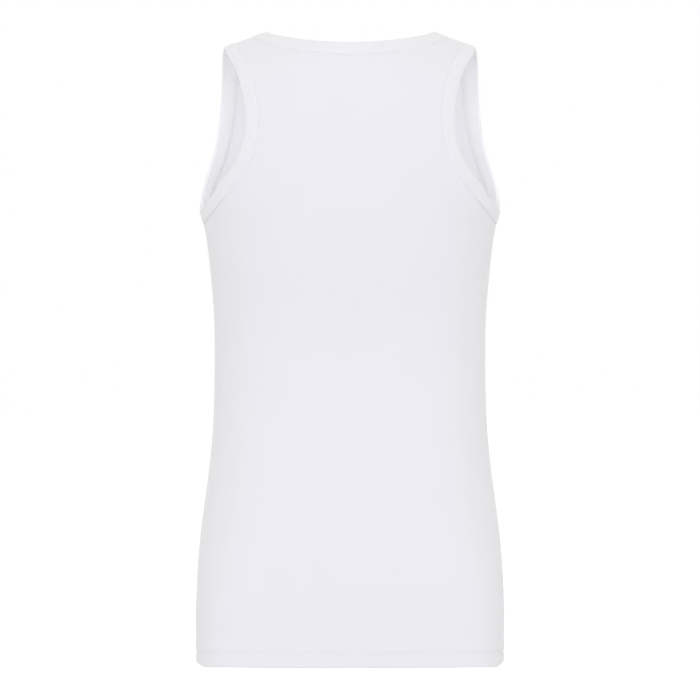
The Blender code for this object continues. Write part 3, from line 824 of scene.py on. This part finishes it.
def band_piece(name, ring, width, mirror=False):
    """A band swept round a ring of stations."""
    edge, seam, edge_normal, seam_normal = (ring[:, i] for i in range(4))
    along = lengths_along(np.concatenate([edge, edge[:1]]))
    length, along = along[-1], along[:-1]
    depth = NECK_SEAM_DEPTH
    if width == ARM_BAND:
        lowness = np.clip(1 - (edge[:, 2:] - edge[:, 2].min()) / (3 * width), 0, 1)
        edge = edge + UNDERARM_FLARE * lowness * edge_normal
        depth = armhole_depth(np.minimum(along, length - along))
    profile = band_section(width)
    rows = []
    for place, height, dip, softness in profile:
        share = place / width
        normal = seam_normal + share * (edge_normal - seam_normal)
        relief = softness * band_relief(along, place, length, width)
        rows.append(seam + share * (edge - seam) + (height - dip * depth + relief)[:, None] * normal)
    vertices = np.stack(rows, axis=1) * (-1 if mirror else 1, 1, 1)
    faces, corners = ring_faces(len(ring), len(profile), flip=mirror)
    piece = add_mesh(name, vertices.reshape(-1, 3), faces, "binding")
    around = lengths_along(np.concatenate([profile[:, :2], profile[:1, :2]]))
    round_ring = np.append(along, length)
    lay_corners(piece, np.stack([round_ring[corners[..., 0]], around[corners[..., 1]]], axis=-1))
    return piece


def ring_faces(count, around, flip):
    """Faces of a ring of sections, and the station and section point of each of their corners."""
    first = np.indices((count, around)).reshape(2, -1).T
    corners = first[:, None] + ((0, 0), (0, 1), (1, 1), (1, 0))
    if flip:
        corners = corners[:, ::-1]
    faces = corners[..., 0] % count * around + corners[..., 1] % around
    return faces.tolist(), corners


# ---- meshes ----
def add_object(name, data):
    """A new object in the scene."""
    thing = bpy.data.objects.new(name, data)
    bpy.context.collection.objects.link(thing)
    return thing


def add_mesh(name, points, faces, *materials):
    """A named mesh, moved down from heights above the hem into the part's frame."""
    mesh = bpy.data.meshes.new(name)
    mesh.from_pydata((points - (0, 0, ORIGIN_HEIGHT)).tolist(), [], faces)
    mesh.shade_smooth()
    mesh.set_sharp_from_angle(angle=SHARP_ANGLE)
    for material in materials:
        mesh.materials.append(MATERIALS[material])
    return add_object(name, mesh)


def lay_corners(piece, corners):
    """Stores lengths of cloth at the face corners, for the knit."""
    layer = piece.data.uv_layers.new(name="cloth")
    layer.uv.foreach_set("vector", np.asarray(corners, np.float32).ravel())


def lay_pattern(piece, pattern):
    """Stores cloth lengths at the vertices' face corners."""
    lay_corners(piece, pattern[[loop.vertex_index for loop in piece.data.loops]])


def facing_out(vertices, faces):
    """Vertices with the faces of a closed form turned outward."""
    corners = np.array([face[:3] for face in faces])
    first, second, third = (vertices[corners[:, i]] - vertices.mean(axis=0) for i in range(3))
    volume = np.einsum("ij,ij->", first, np.cross(second, third))
    return vertices, faces if volume > 0 else [tuple(reversed(face)) for face in faces]


def loft_faces(rings, sides):
    """Faces of a tube of rings of vertices, closed at both ends."""
    faces = [(i + j, i + (j + 1) % sides, i + sides + (j + 1) % sides, i + sides + j)
             for i in range(0, (rings - 1) * sides, sides) for j in range(sides)]
    return faces + [tuple(reversed(range(sides))), tuple(range((rings - 1) * sides, rings * sides))]


def tube(path, normals, radius, sides):
    """Vertices and faces of a closed tube along a path."""
    tangent = np.gradient(path, axis=0)
    sideways = np.cross(tangent, normals)
    upward = np.cross(sideways, tangent)
    sideways, upward = (v / np.linalg.norm(v, axis=1)[:, None] for v in (sideways, upward))
    turns = np.arange(sides)[None, :, None] * 2 * math.pi / sides
    ring = np.cos(turns) * sideways[:, None] + np.sin(turns) * upward[:, None]
    vertices = (path[:, None] + radius * ring).reshape(-1, 3)
    return facing_out(vertices, loft_faces(len(path), sides))


def joined(parts):
    """One list of vertices and one of faces from many."""
    points, faces, count = [], [], 0
    for vertices, some in parts:
        points.append(vertices)
        faces += [tuple(i + count for i in face) for face in some]
        count += len(vertices)
    return np.concatenate(points), faces


# ---- sewing ----
def hem_row(side, height):
    """The count of stitches in a row over the hem, and a function that gives its angles at shares from
    -1 at the left seam to 1 at the right."""
    angles = np.linspace(-QUARTER, QUARTER, HEM_STEPS)
    lengths = cloth_at(side, angles, height)[0]
    half = lengths[-1]
    return round(2 * half / STITCH), lambda shares: np.interp(shares * half, lengths, angles)


def hem_stitches(side, row):
    """The visible stitches of one needle's row on one panel."""
    count, angles_at = hem_row(side, row)
    places = np.arange(count)[:, None] + np.linspace(*STITCH_SPAN, 7)
    angle = angles_at(places.ravel() / count * 2 - 1)
    rise = np.full_like(angle, row)
    shares = np.linspace(0, 1, 7)
    bow = np.tile((4 * shares * (1 - shares)) ** 0.4, count)
    height = reliefs(side, angle, rise)[0] + STITCH_THREAD * (1.9 * bow - 1.1)
    paths = on_cloth(side, angle, rise, height).reshape(count, -1, 3)
    normals = outward(side, angle, rise).reshape(paths.shape)
    return [tube(path, normal, STITCH_THREAD, 6) for path, normal in zip(paths, normals)]


def looped_thread(first, second, normals):
    """A thread that goes to and fro between two rows of points."""
    numbers = np.arange(len(first))
    corners = np.where((numbers % 2 == 0)[:, None], first, second)
    places = np.linspace(0, numbers[-1], 3 * numbers[-1] + 1)
    path, normals = (rows_at(places, numbers, rows) for rows in (corners, normals))
    return tube(path, -normals, OVERLOCK_THREAD, 5)


def hem_looper(side):
    """The cover stitch's looper thread, which runs inside over the hem's raw edge."""
    count, angles_at = hem_row(side, HEM_DEPTH)
    angle = angles_at(np.linspace(-1, 1, 2 * count + 1))
    rises = [np.full_like(angle, up) for up in LOOPER_ROWS]
    low, high = (under_cloth(side, angle, rise, OVERLOCK_THREAD) for rise in rises)
    return looped_thread(low, high, outward(side, angle, np.full_like(angle, HEM_DEPTH)))


def seam_strips(side):
    """Each allowance on a panel's inside, as a function that gives places along it at a distance from
    its seam, and whether both halves of the panel have one."""
    def armhole(gap):
        return inside_armhole(side, ARM_BAND + gap)

    def neck(gap):
        angle, rise = inside_neck(side, NECK_BAND + gap)
        return np.append(-angle[:0:-1], angle), np.append(rise[:0:-1], rise)

    def side_seam(gap):
        rises = np.linspace(HEM_DEPTH + 0.0008, ARMHOLE_SEAM[side][1][0] - ALLOWANCE, 200)
        return beside_side_seam(side, gap, rises), rises

    def shoulder(gap):
        neck_angle, arm_angle = NECK_SEAM[side][0][-1], ARMHOLE_SEAM[side][0][-1]
        angles = np.linspace(neck_angle, arm_angle, 24)[2:-2]
        return angles, below_ridge(side, gap, angles)

    strips = [(armhole, True), (neck, False)]
    if side == BACK:
        strips += [(side_seam, True), (shoulder, True)]
    return strips


def allowance(side, places):
    """One pressed allowance's vertices and faces."""
    rows = [under_cloth(side, *places(share * ALLOWANCE), ALLOWANCE_CLOTH * depth - STRIP_SINK)
            for share, depth in STRIP]
    vertices = np.stack(rows, axis=1)
    return facing_out(vertices.reshape(-1, 3), loft_faces(len(vertices), len(STRIP)))


def overlock(side, places):
    """The thread looped over one allowance's raw edge."""
    rows = []
    for share, depth in OVERLOCK_ROWS:
        place = places(share * ALLOWANCE)
        rows.append(under_cloth(side, *place, ALLOWANCE_CLOTH * depth + OVERLOCK_THREAD))
    rows.append(outward(side, *place))
    along = lengths_along(rows[1])
    steps = np.linspace(0, along[-1], 2 * round(along[-1] / OVERLOCK_PITCH) + 1)
    return looped_thread(*(rows_at(steps, along, row) for row in rows))


def along_seams(side, make):
    """What is made along a panel's allowances, on both of its halves."""
    parts = []
    for places, twice in seam_strips(side):
        vertices, faces = make(side, places)
        parts.append((vertices, faces))
        if twice:
            parts.append((vertices * (-1, 1, 1), [face[::-1] for face in faces]))
    return joined(parts)


def pressed_allowances(name, side):
    """All of a panel's seam allowances."""
    points, faces = along_seams(side, allowance)
    piece = add_mesh(name, points, faces, "jersey_reverse")
    lay_pattern(piece, points[:, [0, 2]] - (0, ORIGIN_HEIGHT))
    return piece


# ---- materials ----
class Nodes:
    """A short way to write a tree of shader nodes."""

    def __init__(self, tree):
        self.tree = tree

    def fill(self, node, inputs):
        """Sets a node's inputs, or links them to other nodes."""
        for key, value in inputs.items():
            if isinstance(value, bpy.types.NodeSocket):
                self.tree.links.new(value, node.inputs[key])
            else:
                node.inputs[key].default_value = value

    def add(self, kind, output, inputs=None, **settings):
        """An output of a new node with these inputs and settings."""
        node = self.tree.nodes.new("ShaderNode" + kind)
        for key, value in settings.items():
            setattr(node, key, value)
        self.fill(node, inputs or {})
        return node.outputs[output]

    def math(self, operation, *inputs):
        """The result of one step of arithmetic."""
        return self.add("Math", "Value", dict(enumerate(inputs)), operation=operation)

    def noise(self, vector, scale, detail):
        """Noise from 0 to 1 over a vector."""
        return self.add("TexNoise", "Fac", {"Vector": vector, "Scale": scale, "Detail": detail})

    def spread(self, value, low, high):
        """A value from 0 to 1 moved to a range."""
        return self.add("MapRange", "Result", {"Value": value, "To Min": low, "To Max": high})

    def mix(self, share, first, second):
        """A colour between two, at a share."""
        return self.add("Mix", "Result", {"Factor": share, "A": first, "B": second}, data_type="RGBA")

    def tone(self, share, colour, darkest, lightest):
        """A colour made darker or lighter, at a share."""
        dark, light = ((*(min(1.0, c * factor) for c in colour), 1) for factor in (darkest, lightest))
        return self.mix(share, dark, light)

    def bump(self, height, distance, strength):
        """The normal of a fine relief from a height of 0 to 1."""
        inputs = {"Strength": strength, "Distance": distance, "Height": height}
        return self.add("Bump", "Normal", inputs)


def matt_material(name, colour, roughness, sheen):
    """A material, its nodes and a function that fills its shader's inputs."""
    material = bpy.data.materials.new(name)
    material.use_nodes = True
    nodes = Nodes(material.node_tree)

    def finish(inputs):
        nodes.fill(nodes.tree.nodes["Principled BSDF"], inputs)

    finish({"Base Color": (*colour, 1), "Roughness": roughness, "Specular IOR Level": 0.25,
            "Sheen Weight": sheen, "Sheen Roughness": 0.5})
    return material, nodes, finish


def knit_height(step, across, up, reverse):
    """Height of plain knitting: legs in columns of Vs on its face, rows of arcs on its reverse."""
    column, row = step("DIVIDE", across, WALE), step("DIVIDE", up, COURSE)
    from_middle = step("ABSOLUTE", step("SUBTRACT", step("FRACT", column), 0.5))
    if reverse:
        arcs = step("ADD", row, step("MULTIPLY", from_middle, 0.9))
        return step("MULTIPLY_ADD", step("SINE", step("MULTIPLY", arcs, TURN)), 0.5, 0.5)
    leg = step("SINE", step("MULTIPLY", from_middle, TURN))
    slanted = step("SUBTRACT", row, step("MULTIPLY", from_middle, 1.1))
    stitch = step("SINE", step("MULTIPLY", slanted, TURN))
    return step("MULTIPLY", leg, step("MULTIPLY_ADD", stitch, 0.28, 0.72))


def jersey(name, colour, reverse=False):
    """Fine cotton jersey: knit relief with painted shade in its hollows, uneven yarn and a soft sheen."""
    material, nodes, finish = matt_material(name, colour, roughness=0.9, sheen=0.05)
    step = nodes.math
    place = nodes.add("UVMap", "UV", uv_map="cloth")
    split = nodes.add("SeparateXYZ", "X", {"Vector": place}).node
    across, up = split.outputs["X"], split.outputs["Y"]
    knit = knit_height(step, across, up, reverse)
    spun = {"X": step("MULTIPLY", across, 1 / YARN_LENGTH), "Y": step("MULTIPLY", up, 1 / COURSE)}
    yarn = nodes.noise(nodes.add("CombineXYZ", "Vector", spun), *YARN_NOISE)
    cloud = nodes.noise(place, *CLOUD_NOISE)
    # The knit's height darkens the colour in its hollows: painted shade. The yarn's and the dye's noise
    # are the cloth's own random tone.
    share = step("MULTIPLY_ADD", knit, KNIT_SHADE, step("MULTIPLY", yarn, YARN_TONE))
    tone = nodes.tone(step("MULTIPLY_ADD", cloud, CLOUD_TONE, share), colour, *JERSEY_SHADE_AND_TONE)
    normal = nodes.bump(step("MULTIPLY_ADD", yarn, YARN_RELIEF, knit), *JERSEY_RELIEF)
    finish({"Base Color": tone, "Normal": normal, "Roughness": nodes.spread(yarn, *JERSEY_ROUGHNESS)})
    return material


def thread(name, colour):
    """Spun polyester sewing thread, with its twist and painted shade in the twist's grooves."""
    material, nodes, finish = matt_material(name, colour, roughness=0.55, sheen=0.1)
    place = nodes.add("TexCoord", "Object")
    strand = nodes.add("TexWave", "Fac", {"Vector": place, "Scale": TWIST, "Distortion": TWIST_BEND},
                       wave_type="BANDS", bands_direction="DIAGONAL")
    # The twist's bands darken the colour in its grooves: painted shade.
    tone, normal = nodes.tone(strand, colour, *THREAD_SHADE), nodes.bump(strand, *THREAD_RELIEF)
    finish({"Base Color": tone, "Normal": normal, "Roughness": nodes.spread(strand, *THREAD_ROUGHNESS)})
    return material


def pale_floor():
    """A studio floor that is seen as white but throws less light up."""
    material, nodes, finish = matt_material("studio_floor", (0.9, 0.9, 0.9), roughness=0.9, sheen=0.0)
    seen = nodes.add("LightPath", "Is Camera Ray")
    finish({"Emission Strength": nodes.spread(seen, 0.0, FLOOR_GLOW), "Emission Color": (1, 1, 1, 1),
            "Base Color": nodes.spread(seen, FLOOR_BOUNCE, 0.9)})
    return material


MATERIALS = {
    "jersey": jersey("jersey", BODY_COLOUR),
    "jersey_reverse": jersey("jersey_reverse", BODY_COLOUR, reverse=True),
    "binding": jersey("binding", BAND_COLOUR),
    "thread": thread("thread", THREAD_COLOUR),
}


# ---- the dressed part ----
def place_piece(piece, node=None):
    """Ties a piece to the part and the node it stands for."""
    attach(piece, "root")
    if node:
        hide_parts(node)


def dress_panel(node, side, hem_threads):
    """A body panel with its seam allowances and thread."""
    panel = panel_piece(node + "_cloth", side)
    edges = pressed_allowances(node + "_allowances", side)
    threads = [add_mesh(node + "_overlock", *along_seams(side, overlock), "thread"), *hem_threads]
    place_piece(panel, node)
    place_piece(edges)
    for piece in threads:
        place_piece(piece)
    return panel


def dress_band(node, ring, width, mirror=False):
    """A band, sewn on a little stretched."""
    band = band_piece(node + "_cloth", ring, width, mirror)
    place_piece(band, node)


def dress():
    """Makes every piece of the top."""
    stitches = [hem_stitches(side, row) for side in SIDES for row in HEM_NEEDLES]
    loopers = [hem_looper(side) for side in SIDES]
    hem_threads = [add_mesh("hem_stitching", *joined(sum(stitches, [])), "thread"),
                   add_mesh("hem_looper", *joined(loopers), "thread")]
    panels = [dress_panel("back", BACK, hem_threads),
              dress_panel("front", FRONT, [])]
    dress_band("neck_band", neck_ring(), NECK_BAND)
    dress_band("armhole_band_right", armhole_ring(), ARM_BAND)
    dress_band("armhole_band_left", armhole_ring(), ARM_BAND, mirror=True)


# ---- studio ----
def add_floor():
    """A wide pale floor, well below the hem."""
    mesh = bpy.data.meshes.new("floor")
    corners = [(x * FLOOR_REACH, y * FLOOR_REACH, FLOOR_HEIGHT)
               for x, y in ((-1, -1), (1, -1), (1, 1), (-1, 1))]
    mesh.from_pydata(corners, [], [(0, 1, 2, 3)])
    mesh.materials.append(pale_floor())
    add_object("floor", mesh)


def add_lamp(name, kind, power, place):
    """A new lamp that isn't seen itself."""
    light = bpy.data.lights.new(name, kind)
    light.energy = power
    lamp = add_object(name, light)
    lamp.location = place
    lamp.visible_camera = False
    return lamp


def add_inside_light():
    """Lamps down the middle, for the light that white cloth lets through, and one in each armhole, for
    the studio's light on the inside of the front."""
    for height in INSIDE_LAMPS:
        lamp = add_lamp("inside_lamp", "POINT", INSIDE_POWER, (0, 0, height))
        lamp.data.shadow_soft_size = INSIDE_RADIUS
    x, y, z = ARM_LAMPS
    for sign in (1, -1):
        lamp = add_lamp("armhole_lamp", "AREA", ARM_POWER, (sign * x, y, z))
        lamp.rotation_euler = (QUARTER, 0, 0)
        lamp.data.shape = "RECTANGLE"
        lamp.data.size, lamp.data.size_y = ARM_LAMP_SIZE


def add_light():
    """A room seen as plain white, whose light is fuller from behind and before."""
    world = bpy.data.worlds.new("room")
    world.use_nodes = True
    nodes = Nodes(world.node_tree)
    direction = nodes.add("TexCoord", "Generated")
    y = nodes.add("SeparateXYZ", "Y", {"Vector": direction})
    facing = nodes.math("MULTIPLY", y, y)
    lit = nodes.add("VectorMath", "Vector", {0: facing, 1: LIGHT_FACING, 2: LIGHT_EVEN},
                    operation="MULTIPLY_ADD")
    seen = nodes.add("LightPath", "Is Camera Ray")
    nodes.fill(nodes.tree.nodes["Background"], {"Color": nodes.mix(seen, lit, (1, 1, 1, 1))})
    bpy.context.scene.world = world


def add_camera():
    """A level camera behind the wearer."""
    lens = bpy.data.cameras.new("camera")
    lens.sensor_width = SENSOR
    lens.lens = SENSOR * VIEW_DISTANCE / VIEW_WIDTH
    camera = add_object("camera", lens)
    camera.location = (0, -VIEW_DISTANCE, VIEW_HEIGHT)
    camera.rotation_euler = (QUARTER, 0, 0)
    bpy.context.scene.camera = camera
    bpy.context.scene.view_settings.view_transform = "Standard"


dress()
add_floor()
add_light()
add_inside_light()
add_camera()
